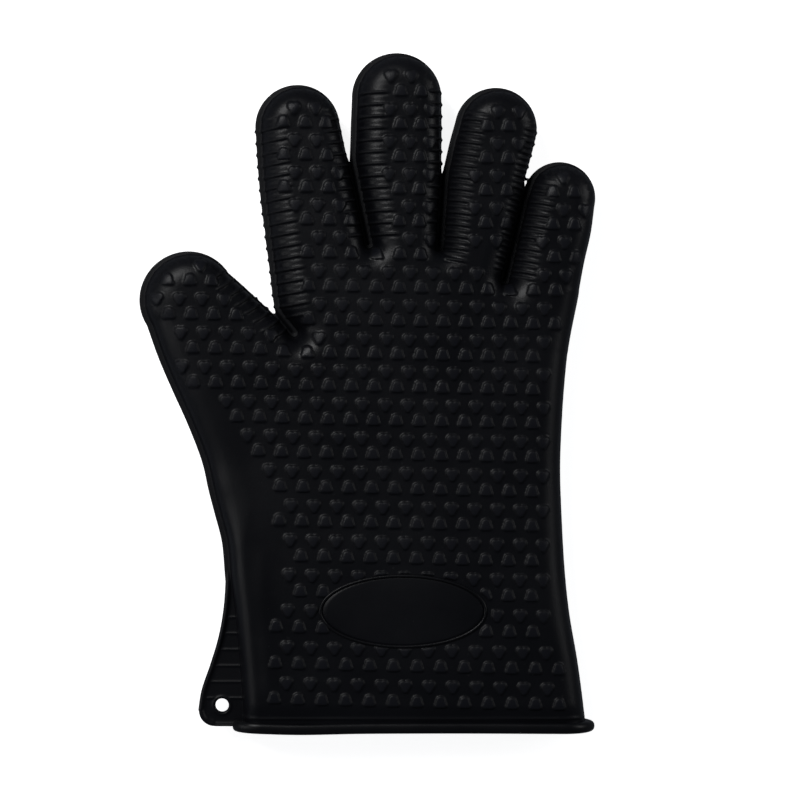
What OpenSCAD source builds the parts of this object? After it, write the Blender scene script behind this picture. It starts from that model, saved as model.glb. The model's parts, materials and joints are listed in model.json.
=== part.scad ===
// Heat resistant glove, moulded silicone, lying flat with its front face up.
// +Y runs towards the fingertips, the thumb is on -X, and the table is at z = 0.

/* [Size] */
// Length from the middle fingertip to the edge of the cuff
glove_length = 270; // [255:1:285]
// Width from the thumb to the end of the hem bead
glove_width = 180; // [170:1:190]
// Thickness of the glove lying flat, without the front grips
glove_thick = 24; // [22:0.5:26]
// Thickness of the silicone
wall = 1.6; // [1.2:0.1:2]

/* [Folds] */
// How far the knuckle line folds, in degrees
knuckle_fold = 55; // [30:5:60]
// How far each finger folds at its middle joint
finger_fold = 60; // [30:5:65]
// How far each fingertip folds
tip_fold = 40; // [20:5:45]
// How far the thumb folds at each of its two joints
thumb_fold = 45; // [20:5:50]
// Half the width of a crease below its hinge line
crease_half = 1.2; // [0.8:0.1:2]
// Gap between a crease and the skin on each side of it
crease_gap = 0.2; // [0.15:0.05:0.3]

/* [Grips] */
// How far the grips stand out of the skin
grip_height = 0.8; // [0.4:0.1:1.2]
// Width of one heart
heart_width = 5.4; // [4:0.1:5.8]
// Distance between two columns of hearts
heart_pitch = 8.9; // [8.6:0.1:10]
// Distance between two rows that point the same way
row_pitch = 13.3; // [12.4:0.1:15]
// Angle of the rows to the width of the glove, in degrees
row_turn = -1.2; // [-3:0.1:3]

/* [Cuff] */
// Length of the hem bead along the glove
bead_length = 4.4; // [3:0.1:6]
// How far the bead stands out of the cuff
bead_proud = 1.6; // [1:0.1:2]
// Length of the oval badge, across the cuff
badge_length = 66; // [56:1:70]
// Height of the oval badge, along the cuff
badge_height = 29; // [22:1:30]
// Width of the badge's raised rim
badge_rim_width = 1.5; // [1:0.1:2.5]
// Radius of the hanging hole
hole_radius = 2.65; // [2:0.05:3.2]
// Thickness of the hang tab
tab_thick = 3.2; // [2.4:0.1:4]
// Width of the bead round the hang tab
tab_rim_width = 2.2; // [1.6:0.1:2.6]

/* [Hidden] */
DIGITS = ["index", "middle", "ring", "little", "thumb"];

wide = glove_width / 180;
long = glove_length / 270;
mid_z = glove_thick / 2;
front_z = glove_thick;
edge_reach = 9;
round_sides = 20;
edge_steps = 3;
// Further than any point of the glove, and higher than it is thick
far = 400;
tall = 40;

// A point of the flat pattern, as [x, y], at the glove's own size
function at(x, y) = [x * wide, y * long];

// Each digit's stations, as [x, y, radius]: inside the palm, at its root and at its tip
digit_stations = [
    [[-20, 42, 16], [-21.5, 58, 17.4], [-27.8, 105.7, 16.7]],
    [[13.5, 36, 14], [12.9, 58, 15], [11.5, 117.3, 17.7]],
    [[39.5, 32, 13.5], [41.2, 52, 14.3], [50.8, 104.9, 16.2]],
    [[65, 26, 14], [68, 39, 15], [76, 77.5, 13.8]],
    [[-38, -16, 20], [-48.6, 2.2, 27], [-71.4, 37.3, 18.6]],
];
// Distance of each digit's middle and tip hinges from its root station
hinge_places = [[25, 46], [28, 53], [27, 50], [21, 38], [20, 40]];
// The knuckle hinge line, from the index side to the little finger's side
knuckle_line = [at(-33.5, 43.8), at(82.3, 20.4)];
wrist_y = -44 * long;
mouth_y = -135 * long + bead_length;

function root_of(d) = at(digit_stations[d][1][0], digit_stations[d][1][1]);
function tip_of(d) = at(digit_stations[d][2][0], digit_stations[d][2][1]);
function heading(from, to) = atan2(to[1] - from[1], to[0] - from[0]);
function digit_heading(d) = heading(root_of(d), tip_of(d));
function fold_of(d, joint) = d == 4 ? thumb_fold : joint == 0 ? finger_fold : tip_fold;
function reach(d) = norm(tip_of(d) - root_of(d)) + digit_stations[d][2][2] * wide;

// ---- Building blocks ----

// Joins everything under it into one closed skin, at the size it already has
module one_skin() {
    resize([0, 0, 0]) children();
}

// A flat round pebble with an elliptical edge, its middle plane at mid_z, smaller by inset.
// Neighbours in a hull differ in turn, 0 or 1, so that no four of their corners lie in a plane.
module pebble(x, y, radius, inset, turn = 0, thick = glove_thick) {
    flat = radius * wide - edge_reach;
    edge = edge_reach - inset;
    half = thick / 2 - inset;
    steps = [for (k = [-edge_steps : edge_steps]) 90 * k / edge_steps];
    translate([at(x, y)[0], at(x, y)[1], mid_z])
        rotate(turn * 180 / round_sides)
            rotate_extrude($fn = round_sides)
                polygon([
                    [0, -half],
                    for (a = steps) [flat + edge * cos(a), half * sin(a)],
                    [0, half],
                ]);
}

// The stretch of a digit between two of its stations
module digit_stretch(d, first, inset) {
    hull()
        for (k = [first, first + 1]) {
            station = digit_stations[d][k];
            pebble(station[0], station[1], station[2], inset, k % 2);
        }
}

// A whole digit, solid, smaller all round by inset
module digit_form(d, inset) {
    for (k = [0 : 1])
        digit_stretch(d, k, inset);
}

// The palm with the mound of the thumb, solid
module palm_form(inset) {
    hull() {
        pebble(-20, 42, 16.5, inset, 0);
        pebble(66, 30, 15.3, inset, 1);
        pebble(57.5, -42, 18.5, inset, 0);
        pebble(-12, -24, 18, inset, 1);
    }
    hull() {
        pebble(-47, -4, 25, inset, 0);
        pebble(-41, -44, 18.5, inset, 1);
        pebble(57.5, -42, 18.5, inset, 0);
        pebble(-6, 2, 20, inset, 1);
    }
}

// The cuff from the wrist to past its mouth, solid
module cuff_form(inset) {
    neck_thick = glove_thick - 8 * bead_proud;
    hull() {
        pebble(-41, -44, 18.5, inset, 1);
        pebble(57.5, -42, 18.5, inset, 0);
        pebble(69.5, -122, 16, inset, 1);
        pebble(-33.5, -122, 16, inset, 0);
    }
    hull() {
        pebble(-33.5, -122, 16, inset, 0);
        pebble(69.5, -122, 16, inset, 1);
        pebble(72.5, -150, 16, inset, 0, neck_thick);
        pebble(-30.5, -150, 16, inset, 1, neck_thick);
    }
}

// Everything on one side of the parting plane
module front_half() {
    translate([-far, -far, mid_z]) cube([2 * far, 2 * far, far]);
}

module back_half() {
    translate([-far, -far, mid_z - far]) cube([2 * far, 2 * far, far]);
}

// Side view of a crease: a narrow strip below the hinge line, a wedge above it.
// The wedge leaves both sides free to fold towards the front.
module crease_outline(fold, margin) {
    half = crease_half + margin;
    spread = half + tall * tan(fold / 2);
    polygon([
        [-half, -tall], [half, -tall], [half, 0],
        [spread, tall], [-spread, tall], [-half, 0],
    ]);
}

// A crease across the whole glove at the hinge line through a point
module crease_wedge(place, along, fold, margin, half_width) {
    translate([place[0], place[1], mid_z])
        rotate([90, 0, along])
            linear_extrude(height = 2 * half_width, center = true)
                crease_outline(fold, margin);
}

// Half the width of a slice that takes in a whole digit but not its neighbours' middles
function slice_half(d) = digit_stations[d][1][2] * wide + 4;

// The wedge of one of a digit's creases
module digit_wedge(d, joint, margin) {
    angle = digit_heading(d);
    s = hinge_places[d][joint];
    place = root_of(d) + s * [cos(angle), sin(angle)];
    crease_wedge(place, angle, fold_of(d, joint), margin, slice_half(d));
}

// The slice of space across a digit between two distances from its root
module digit_span(d, from, to) {
    translate([root_of(d)[0], root_of(d)[1], mid_z])
        rotate(digit_heading(d))
            translate([from, -slice_half(d), -tall])
                cube([to - from, 2 * slice_half(d), 2 * tall]);
}

// A digit from inside the palm up to its first crease, solid
module digit_start(d) {
    difference() {
        digit_form(d, 0);
        digit_span(d, hinge_places[d][0], reach(d) + 5);
        digit_wedge(d, 0, crease_gap);
    }
}

// The wedge of the knuckle line
module knuckle_wedge(margin) {
    middle = (knuckle_line[0] + knuckle_line[1]) / 2;
    crease_wedge(middle, heading(knuckle_line[0], knuckle_line[1]) + 90,
        knuckle_fold, margin, glove_width / 2);
}

// All of the glove beyond the knuckle line
module beyond_knuckles() {
    translate([knuckle_line[0][0], knuckle_line[0][1], -tall])
        rotate(heading(knuckle_line[0], knuckle_line[1]))
            translate([-far / 2, 0, 0])
                cube([far, far, 2 * tall]);
}

// ---- Skins ----

// The palm and its part of the thumb, up to the knuckle line and the thumb's first crease
module palm_skin() {
    difference() {
        union() {
            palm_form(0);
            digit_start(4);
        }
        palm_form(wall);
        digit_form(4, wall);
        cuff_form(wall);
        for (d = [0 : 3])
            digit_form(d, wall);
        beyond_knuckles();
        knuckle_wedge(crease_gap);
        digit_wedge(4, 0, crease_gap);
        digit_span(4, hinge_places[4][0], reach(4) + 5);
        translate([-far, wrist_y - far, -far]) cube([2 * far, far, 2 * far]);
    }
}

module palm_front() {
    color([0.05, 0.05, 0.055])
        one_skin()
            intersection() {
                palm_skin();
                front_half();
            }
}

module palm_back() {
    color([0.045, 0.045, 0.05])
        one_skin()
            intersection() {
                palm_skin();
                back_half();
            }
}

// The skin between the knuckle line and the first crease of each finger
module knuckle_skin() {
    difference() {
        union() {
            palm_form(0);
            for (d = [0 : 3])
                digit_start(d);
        }
        palm_form(wall);
        for (d = [0 : 3])
            digit_form(d, wall);
        knuckle_wedge(crease_gap);
    }
}

module knuckle_front() {
    color([0.055, 0.055, 0.06])
        one_skin()
            intersection() {
                knuckle_skin();
                beyond_knuckles();
                front_half();
            }
}

module knuckle_back() {
    color([0.045, 0.045, 0.05])
        one_skin()
            intersection() {
                knuckle_skin();
                beyond_knuckles();
                back_half();
            }
}

// The strip that folds at the knuckle line
module knuckle_crease() {
    color([0.07, 0.07, 0.075])
        one_skin()
            intersection() {
                difference() {
                    union() {
                        palm_form(0);
                        for (d = [0 : 3])
                            digit_form(d, 0);
                    }
                    palm_form(wall);
                    for (d = [0 : 3])
                        digit_form(d, wall);
                }
                knuckle_wedge(0);
            }
}

module cuff_skin() {
    difference() {
        cuff_form(0);
        cuff_form(wall);
        palm_form(wall);
        translate([-far, wrist_y, -far]) cube([2 * far, far, 2 * far]);
        translate([-far, mouth_y - far, -far]) cube([2 * far, far, 2 * far]);
    }
}

module cuff_front() {
    color([0.05, 0.05, 0.055])
        one_skin()
            intersection() {
                cuff_skin();
                front_half();
            }
}

module cuff_back() {
    color([0.045, 0.045, 0.05])
        one_skin()
            intersection() {
                cuff_skin();
                back_half();
            }
}

// One open sleeve of a digit, between its two creases
module sleeve(d) {
    color([0.055, 0.055, 0.06])
        one_skin()
            difference() {
                intersection() {
                    digit_form(d, 0);
                    digit_span(d, hinge_places[d][0], hinge_places[d][1]);
                }
                digit_form(d, wall);
                digit_wedge(d, 0, crease_gap);
                digit_wedge(d, 1, crease_gap);
            }
}

// The closed tip of a digit
module digit_tip(d) {
    color([0.05, 0.05, 0.055])
        one_skin()
            difference() {
                intersection() {
                    digit_form(d, 0);
                    digit_span(d, hinge_places[d][1], reach(d) + 5);
                }
                digit_form(d, wall);
                digit_wedge(d, 1, crease_gap);
            }
}

// The strip that folds at one of a digit's creases
module digit_crease(d, joint) {
    color([0.07, 0.07, 0.075])
        one_skin()
            intersection() {
                difference() {
                    digit_form(d, 0);
                    digit_form(d, wall);
                }
                digit_wedge(d, joint, 0);
            }
}

// ---- Hem, tab and badge ----

// A flat bar with round ends
module stadium(left, right, radius) {
    translate([left + radius, 0]) circle(r = radius, $fn = 64);
    translate([right - radius, 0]) circle(r = radius, $fn = 64);
    translate([left + radius, -radius]) square([right - left - 2 * radius, 2 * radius]);
}

bead_left = -53.6 * wide;
bead_right = glove_width / 2;

// All the space that the bead goes round, its own included
module bead_space() {
    translate([0, mouth_y, mid_z])
        rotate([90, 0, 0])
            linear_extrude(height = bead_length)
                stadium(bead_left, bead_right, mid_z);
}

// The bead is thicker at its two ends, where it runs out to the tab and to the right
module hem_bead() {
    bead_thick = bead_proud + wall;
    color([0.04, 0.04, 0.045])
        difference() {
            bead_space();
            translate([0, mouth_y + 1, mid_z])
                rotate([90, 0, 0])
                    linear_extrude(height = bead_length + 2)
                        stadium(bead_left + 2 * bead_thick,
                            bead_right - 1.5 * bead_thick, mid_z - bead_thick);
        }
}

tab_corner = at(-61, -126);
tab_corner_radius = 5.8;
tab_top = at(-51.3, -76);
tab_top_radius = 3.2;
hole_place = at(-57.6, -123.5);

// The tab's flat outline, smaller all round by inset
module tab_outline(inset) {
    hull() {
        translate(tab_corner) circle(r = tab_corner_radius - inset, $fn = 32);
        translate(tab_top) circle(r = tab_top_radius - inset, $fn = 32);
        translate(at(-44, -126)) circle(r = tab_corner_radius - inset, $fn = 32);
    }
}

module hang_tab() {
    color([0.06, 0.06, 0.065])
        difference() {
            translate([0, 0, mid_z - tab_thick / 2])
                linear_extrude(height = tab_thick)
                    tab_outline(tab_rim_width);
            cuff_form(0);
            bead_space();
            translate([hole_place[0], hole_place[1], 0])
                cylinder(r = hole_radius, h = glove_thick, $fn = 64);
        }
}

module tab_rim() {
    rim_thick = tab_thick + bead_proud;
    color([0.045, 0.045, 0.05])
        difference() {
            translate([0, 0, mid_z - rim_thick / 2])
                linear_extrude(height = rim_thick)
                    difference() {
                        tab_outline(0);
                        tab_outline(tab_rim_width);
                    }
            cuff_form(0);
            bead_space();
        }
}

// The fine ridges across the tab
module tab_ribs() {
    rib_height = 0.6;
    color([0.05, 0.05, 0.055])
        difference() {
            translate([0, 0, mid_z + tab_thick / 2])
                linear_extrude(height = rib_height)
                    intersection() {
                        tab_outline(tab_rim_width);
                        for (k = [0 : 4])
                            translate([-80 * wide, (-88.6 - 6.4 * k) * long - 0.5])
                                square([40 * wide, 1]);
                    }
            cuff_form(0);
        }
}

badge_place = at(14.1, -85.4);

module oval(length, height) {
    polygon([for (a = [0 : 7.5 : 352.5]) [length / 2 * cos(a), height / 2 * sin(a)]]);
}

// The blank panel inside the badge's rim
module badge_plate() {
    color([0.06, 0.06, 0.065])
        translate([badge_place[0], badge_place[1], front_z])
            linear_extrude(height = grip_height / 2)
                oval(badge_length - 2 * badge_rim_width, badge_height - 2 * badge_rim_width);
}

module badge_rim() {
    color([0.04, 0.04, 0.045])
        translate([badge_place[0], badge_place[1], front_z])
            linear_extrude(height = grip_height)
                difference() {
                    oval(badge_length, badge_height);
                    oval(badge_length - 2 * badge_rim_width, badge_height - 2 * badge_rim_width);
                }
}

// ---- Grips ----

// A heart with a shallow notch, pointing along -y, or along +y when up is true
module heart(up) {
    scale_to_width = heart_width / 32;
    turned = up ? -1 : 1;
    polygon([
        for (a = [0 : 24 : 336])
            turned * scale_to_width * [
                16 * pow(sin(a), 3),
                13 * cos(a) - 5 * cos(2 * a) - 2 * cos(3 * a) - cos(4 * a)
            ]
    ]);
}

// One heart's place, turned with its row about the place of the middle heart
function heart_place(u, v, up) = [
    heart_middle[0] + u * cos(row_turn) - v * sin(row_turn),
    heart_middle[1] + u * sin(row_turn) + v * cos(row_turn),
    up
];

// Places of the hearts around the middle one, as [x, y, up], rows by rows
function heart_places(columns, rows) = [
    for (j = [-rows : rows], i = [-columns : columns], up = [false, true])
        heart_place((i + (up ? 0.5 : 0)) * heart_pitch, (j - (up ? 0.46 : 0)) * row_pitch, up)
];

module hearts(places, base_z) {
    translate([0, 0, base_z])
        linear_extrude(height = grip_height)
            for (p = places)
                translate([p[0], p[1]]) heart(p[2]);
}

// Signed distance of a point to the left of the line from a to b
function left_of(p, a, b) =
    ((b[0] - a[0]) * (p[1] - a[1]) - (b[1] - a[1]) * (p[0] - a[0])) / norm(b - a);
function least_left(p, corners) = min([
    for (k = [0 : len(corners) - 1]) left_of(p, corners[k], corners[(k + 1) % len(corners)])
]);
// The hearts that lie inside a convex outline, taken anticlockwise
function hearts_inside(corners) = [
    for (p = heart_places(14, 14)) if (least_left([p[0], p[1]], corners) > 0) p
];
heart_middle = at(-3.2, -5.2);
palm_corners = [
    at(-38, -40), at(58, -40), at(66, 9), at(66, 12), at(-14, 28.5), at(-22, 28), at(-48, 2),
];
knuckle_corners = [at(-20, 57), at(-22, 52.5), at(66, 34.8), at(66, 38), at(56, 46), at(28, 57)];
cuff_corners = [at(-34, -122), at(72, -122), at(60, -48), at(-36, -48)];

module palm_grips() {
    color([0.06, 0.06, 0.065])
        hearts(hearts_inside(palm_corners), front_z);
}

module knuckle_grips() {
    color([0.06, 0.06, 0.065])
        hearts(hearts_inside(knuckle_corners), front_z);
}

// The hearts of the cuff, those that would meet the badge left out
module cuff_grips() {
    color([0.06, 0.06, 0.065])
        hearts([
            for (p = hearts_inside(cuff_corners))
                if (norm([(p[0] - badge_place[0]) / (badge_length / 2 + heart_width / 2 + 1),
                    (p[1] - badge_place[1]) / (badge_height / 2 + heart_width / 2 + 1)]) > 1)
                    p
        ], front_z);
}

// The rows of hearts between two distances along a digit: pairs and single hearts by turns
function digit_rows(from, to, half_width) =
    let (step = row_pitch / 2,
        rows = floor((to - from) / step),
        start = (from + to - rows * step) / 2,
        side = heart_pitch / 2,
        paired = side + heart_width / 2 <= half_width)
    [
        for (k = [0 : rows])
            each (k % 2 == 0 && paired
                ? [[-side, start + k * step, false], [side, start + k * step, false]]
                : [[0, start + k * step, k % 2 == 1]])
    ];

// The hearts of one stretch of a digit, on its flat front, in the digit's own directions
module digit_grips(d, from, to) {
    half_width = (min(digit_stations[d][1][2], digit_stations[d][2][2]) - edge_reach) * wide;
    color([0.06, 0.06, 0.065])
        translate([root_of(d)[0], root_of(d)[1], 0])
            rotate(digit_heading(d) - 90)
                hearts(digit_rows(from, to, half_width), front_z);
}

// How far from a hinge line the first row of hearts stands, clear of the wedge
function crease_reach(d, joint) =
    crease_half + glove_thick / 2 * tan(fold_of(d, joint) / 2) + heart_width / 2 + 0.3;

module sleeve_grips(d) {
    digit_grips(d, hinge_places[d][0] + crease_reach(d, 0),
        max(hinge_places[d][0] + crease_reach(d, 0), hinge_places[d][1] - crease_reach(d, 1)));
}

module tip_grips(d) {
    first = hinge_places[d][1] + crease_reach(d, 1);
    digit_grips(d, first, max(first, reach(d) - edge_reach - heart_width / 2));
}

// ---- Nodes ----

palm_front();
palm_back();
knuckle_front();
knuckle_back();
knuckle_crease();
cuff_front();
cuff_back();
hem_bead();
hang_tab();
tab_rim();
tab_ribs();
badge_plate();
badge_rim();
palm_grips();
cuff_grips();
knuckle_grips();
for (d = [0 : 4]) {
    sleeve(d);
    digit_tip(d);
    digit_crease(d, 0);
    digit_crease(d, 1);
    sleeve_grips(d);
    tip_grips(d);
}
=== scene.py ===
import json
import math

import bmesh
import bpy
import numpy as np
import openvdb
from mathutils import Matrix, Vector


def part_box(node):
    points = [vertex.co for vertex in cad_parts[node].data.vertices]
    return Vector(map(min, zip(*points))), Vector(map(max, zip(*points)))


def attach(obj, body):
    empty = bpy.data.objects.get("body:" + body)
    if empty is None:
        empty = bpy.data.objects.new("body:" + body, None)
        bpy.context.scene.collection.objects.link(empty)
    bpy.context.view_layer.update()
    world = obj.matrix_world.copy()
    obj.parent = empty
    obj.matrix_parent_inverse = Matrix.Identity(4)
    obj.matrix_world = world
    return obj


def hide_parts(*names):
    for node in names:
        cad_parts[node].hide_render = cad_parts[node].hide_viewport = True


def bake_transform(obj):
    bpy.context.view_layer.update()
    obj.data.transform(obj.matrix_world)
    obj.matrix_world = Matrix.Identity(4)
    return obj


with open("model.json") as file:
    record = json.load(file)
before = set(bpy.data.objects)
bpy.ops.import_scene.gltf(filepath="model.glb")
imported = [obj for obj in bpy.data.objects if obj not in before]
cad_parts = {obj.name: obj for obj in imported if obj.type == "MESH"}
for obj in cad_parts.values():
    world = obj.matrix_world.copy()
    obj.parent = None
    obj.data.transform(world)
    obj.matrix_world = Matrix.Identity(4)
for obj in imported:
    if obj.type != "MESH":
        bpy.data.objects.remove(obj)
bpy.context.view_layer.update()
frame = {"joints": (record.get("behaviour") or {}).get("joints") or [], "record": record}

# The glove's lengths are millimetres in the row frame, and MM turns them into metres at the end.
# The lights and the floor are placed in metres.
MM = 0.001

# ---- Places taken from the frame ----


def joint_named(name):
    return next(j for j in frame["joints"] if j["name"] == name)


def hinge(name):
    """A hinge's centre, and the unit vector across it that points towards the fingertips."""
    joint = joint_named(name)
    place = np.array(joint["pos_m"][:2]) / MM
    axis = np.array(joint["axis"][:2])
    return place, np.array([-axis[1], axis[0]]) / np.linalg.norm(axis)


def box_mm(node):
    low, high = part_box(node)
    return np.array(low) / MM, np.array(high) / MM


GRIP_HEIGHT = 0.8
skin_low, skin_high = box_mm("palm_front")[0][2], box_mm("palm_front")[1][2]
MID_Z = skin_low
FRONT_HALF = skin_high - skin_low
BACK_HALF = FRONT_HALF - GRIP_HEIGHT
WRIST_Y = box_mm("cuff_front")[1][1]
bead_low, bead_high = box_mm("hem_bead")
MOUTH_Y = bead_high[1]
badge_low, badge_high = box_mm("badge_rim")
BADGE_CENTRE = (badge_low + badge_high) / 2
BADGE_HALF = (badge_high - badge_low) / 2

# ---- Camera and light ----

VIEW_WIDTH = 317.2
CAMERA_HEIGHT = 1060.0
AIM = (12.9, -2.6)


def make_camera():
    data = bpy.data.cameras.new("Camera")
    data.sensor_width = 36.0
    distance = CAMERA_HEIGHT - MID_Z
    data.lens = data.sensor_width * distance / VIEW_WIDTH
    data.clip_start, data.clip_end = 0.01, 20.0
    camera = bpy.data.objects.new("Camera", data)
    camera.location = (AIM[0] * MM, AIM[1] * MM, CAMERA_HEIGHT * MM)
    bpy.context.scene.collection.objects.link(camera)
    bpy.context.scene.camera = camera


def area_light(name, place, target, size, power):
    data = bpy.data.lights.new(name, "AREA")
    data.shape = "RECTANGLE"
    data.size, data.size_y = size
    data.energy = power
    light = bpy.data.objects.new(name, data)
    light.location = place
    aim = Vector(target) - Vector(place)
    light.rotation_euler = aim.to_track_quat("-Z", "Y").to_euler()
    bpy.context.scene.collection.objects.link(light)


def make_lights():
    area_light("KeySoftbox", (-0.75, 0.8, 1.15), (0, 0, 0), (0.8, 0.6), 12)
    area_light("LeftStrip", (-1.25, -0.1, 0.5), (-0.05, -0.02, 0), (0.25, 1.2), 1.8)
    area_light("RightFill", (1.3, 0.4, 0.65), (0, 0, 0), (0.7, 0.7), 3.6)
    bpy.context.scene.view_settings.view_transform = "Standard"
    world = bpy.data.worlds.new("Studio")
    bpy.context.scene.world = world
    world.use_nodes = True
    background = world.node_tree.nodes["Background"]
    background.inputs["Color"].default_value = (0.82, 0.89, 1.0, 1)
    background.inputs["Strength"].default_value = 0.085


def make_floor():
    bpy.ops.mesh.primitive_plane_add(size=12, location=(0, 0, -0.0006))
    floor = bpy.context.object
    floor.name = "Floor"
    material = bpy.data.materials.new("PaleFloor")
    material.use_nodes = True
    shader = material.node_tree.nodes["Principled BSDF"]
    shader.inputs["Base Color"].default_value = (0.93, 0.93, 0.93, 1)
    shader.inputs["Emission Color"].default_value = (1, 1, 1, 1)
    shader.inputs["Emission Strength"].default_value = 0.88
    shader.inputs["Roughness"].default_value = 0.7
    shader.inputs["Specular IOR Level"].default_value = 0.2
    floor.data.materials.append(material)
    floor.visible_glossy = False


# ---- Small field helpers ----


def hermite(at, places, values):
    """A smooth curve through a few given stations, level beyond its ends."""
    places, values = np.array(places, float), np.array(values, float)
    slopes = np.gradient(values, places)
    x = np.clip(at, places[0], places[-1])
    k = np.clip(np.searchsorted(places, x) - 1, 0, len(places) - 2)
    step = places[k + 1] - places[k]
    t = (x - places[k]) / step
    rise = t * t * (3 - 2 * t)
    return (
        values[k] * (1 - rise)
        + values[k + 1] * rise
        + step * (t * (1 - t) ** 2 * slopes[k] - t * t * (1 - t) * slopes[k + 1])
    )


def smooth_max(a, b, radius):
    h = np.clip(0.5 + 0.5 * (a - b) / radius, 0, 1)
    return b * (1 - h) + a * h + radius * h * (1 - h)


def smooth_min(a, b, radius):
    return -smooth_max(-a, -b, radius)


def ramp(value, low, high):
    t = np.clip((value - low) / (high - low), 0, 1)
    return t * t * (3 - 2 * t)


def to_segment(x, y, a, b):
    """Distance to the segment from a to b, and the distance to its line, positive on its left."""
    d = np.subtract(b, a)
    length = math.hypot(*d)
    along = np.clip(((x - a[0]) * d[0] + (y - a[1]) * d[1]) / length**2, 0, 1)
    away = np.hypot(x - a[0] - along * d[0], y - a[1] - along * d[1])
    side = (d[0] * (y - a[1]) - d[1] * (x - a[0])) / length
    return away, side


# ---- The outline of the glove, seen from the front ----

# Each digit is given from its middle hinge, along it towards the tip.
# stations: distance along, half width on the left, half width on the right.
# tip: distance to the centre of the round tip, its radius along the digit.
# zones: where the middle fold starts, where the tip's fold takes over, where that ends.
DIGITS = {
    "index": dict(
        stations=[
            (-49, 18.0, 24), (-27, 17.9, 21.0), (-10, 18.3, 19.4),
            (5, 17.9, 18.1), (15, 17.3, 17.3), (23, 16.7, 16.7),
        ],
        tip=(23.0, 16.7), zones=(-10.5, 10.5, 31.5),
    ),
    "middle": dict(
        stations=[
            (-49, 15, 15.5), (-27, 14.2, 15.0), (-10, 17.2, 16.3),
            (4, 18.9, 17.0), (18, 18.5, 17.5), (31.2, 17.7, 17.7),
        ],
        tip=(31.2, 17.7), zones=(-12.5, 12.5, 37.5),
    ),
    "ring": dict(
        stations=[
            (-45, 14, 14), (-24, 14.8, 14.2), (-8, 16.3, 14.6),
            (8, 17.3, 14.7), (18, 17.0, 15.6), (26.8, 16.2, 16.2),
        ],
        tip=(26.8, 16.2), zones=(-11.5, 11.5, 34.5),
    ),
    "little": dict(
        stations=[
            (-40, 15, 14.5), (-22, 15.8, 15.1), (-4, 15.4, 14.8), (7, 15.0, 15.0), (18.3, 14.2, 14.2),
        ],
        tip=(18.3, 14.2), zones=(-11.5, 8.5, 25.5),
    ),
    "thumb": dict(
        stations=[
            (-60, 37, 24), (-50, 35.4, 26), (-35.8, 30.4, 27), (-20.8, 27.1, 27.2),
            (-3.4, 24.4, 25.6), (8.6, 22.3, 22.9), (22, 19.1, 19.3),
        ],
        tip=(22.0, 18.7), zones=(-8.5, 10.0, 30.0),
    ),
}
FINGERS = ["index", "middle", "ring", "little"]
for _name, _digit in DIGITS.items():
    _digit["place"], _digit["way"] = hinge(_name + "_middle_fold")

# Where neighbouring fingers part: from the web, to where the gap opens, to beyond the tips.
DIVIDES = [
    [(-0.6, 58.9), (-6.9, 89.8), (-9, 105), (-12, 130)],
    [(27.6, 58.1), (29.5, 88.6), (31.5, 105), (34, 130)],
    [(53.3, 44.6), (60.9, 77.5), (67.5, 95), (72, 130)],
]
THUMB_DIVIDE = [(-30.3, 24.0), (-38.2, 33.7)]
SLIT_HALF = 0.4
# Silicone that closes the corner between the thumb and the index finger
THUMB_WEB, WEB_HALF = [(-29.5, 22.5), (-35.4, 29.4)], 2.2

PALM_LEFT = [(-140, -51), (-126, -51.7), (-100, -53.7), (-87, -54.9), (-74, -56.4), (-60, -57.6),
             (-43, -60.9), (-27, -58), (-10, -46), (10, -34), (24, -30.3), (28, -33.9), (34, -36.2),
             (48, -38.2), (62, -39.8)]
PALM_RIGHT = [(-140, 87.2), (-131, 86.3), (-106.5, 83.2), (-87, 79.9), (-47, 76.8), (-30, 76.3),
              (-12, 76.9), (3, 77.9), (25, 80.3), (48, 84.2), (60, 86)]
PALM_TOP = [(-60, 62), (-36, 62), (-0.6, 58.9), (27.6, 58.1), (53.3, 44.6), (70, 41), (95, 38)]


def local(digit, x, y):
    """Distance along a digit from its middle hinge, and across it to the right."""
    dx, dy = x - digit["place"][0], y - digit["place"][1]
    u = digit["way"]
    return dx * u[0] + dy * u[1], dx * u[1] - dy * u[0]


def digit_widths(digit, s):
    along, left, right = zip(*digit["stations"])
    return hermite(s, along, left), hermite(s, along, right)


def digit_inside(digit, x, y):
    """Roughly how far a point is inside a digit's outline."""
    s, across = local(digit, x, y)
    left, right = digit_widths(digit, s)
    half, centre = (left + right) / 2, (right - left) / 2
    tip_at, tip_long = digit["tip"]
    past = np.maximum(s - tip_at, 0) * half / tip_long
    inside = half - np.hypot(across - centre, past)
    return np.minimum(inside, s - digit["stations"][0][0])


def divide_x(k, y):
    xs, ys = zip(*DIVIDES[k])
    return np.interp(y, ys, xs)


def slits():
    return [(d[0], d[1]) for d in DIVIDES] + [tuple(THUMB_DIVIDE)]


def cuts_between():
    """The slits, and the lines on beyond them where the fingers have parted."""
    return slits() + [(d[1], d[2]) for d in DIVIDES]


def slit_gap(x, y):
    """Positive inside the narrow slits between neighbouring digits."""
    return np.max([SLIT_HALF - to_segment(x, y, a, b)[0] for a, b in cuts_between()], axis=0)


def outline_whole(x, y):
    """Roughly how far inside the outline, before the slits are cut, so that neighbours stay apart."""
    left = hermite(y, *zip(*PALM_LEFT))
    right = hermite(y, *zip(*PALM_RIGHT))
    top = np.interp(x, *zip(*PALM_TOP))
    whole = np.minimum(np.minimum(x - left, right - x), top - y)
    for digit in DIGITS.values():
        whole = smooth_max(whole, digit_inside(digit, x, y), 2.0)
    return smooth_max(whole, WEB_HALF - to_segment(x, y, *THUMB_WEB)[0], 1.0)


# ---- The grid that the skin is made on ----

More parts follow.
